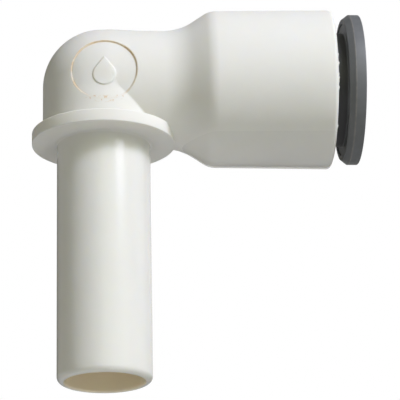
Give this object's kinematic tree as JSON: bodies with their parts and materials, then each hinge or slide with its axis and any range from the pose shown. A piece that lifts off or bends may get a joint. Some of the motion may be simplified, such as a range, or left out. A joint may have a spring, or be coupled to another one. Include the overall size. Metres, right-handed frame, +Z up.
{
  "type": "push to connect fitting",
  "caption": "Plug-in elbow for 12 mm tube: push-in socket with release button and seal on one end, plain plug-in stem with flange on the other.",
  "frame": {"origin": "centre of the flange's underside, on the plug-in stem's axis", "axes": "+Z up the stem's axis to the elbow, +X along the tube socket to its mouth, Y across"},
  "size_m": [0.0424, 0.0208, 0.0496],
  "materials": {
    "body_white": "satin moulded plastic",
    "seal_rubber": "matt black rubber",
    "ring_natural": "natural moulded plastic",
    "grip_steel": "bright stamped stainless steel",
    "sleeve_white": "satin moulded plastic",
    "button_grey": "fine matt moulded plastic"
  },
  "bodies": {
    "fitting": {"elbow_body": "body_white", "tube_seal": "seal_rubber", "seal_backing_ring": "ring_natural", "grip_ring": "grip_steel", "retaining_sleeve": "sleeve_white"},
    "button": {"release_button": "button_grey"}
  },
  "joints": [
    {"name": "button_push", "type": "slide", "parent": "fitting", "child": "button", "axis": [-1, 0, 0], "range_m": [0, 0.00135], "stiffness_N_per_m": 3000}
  ]
}
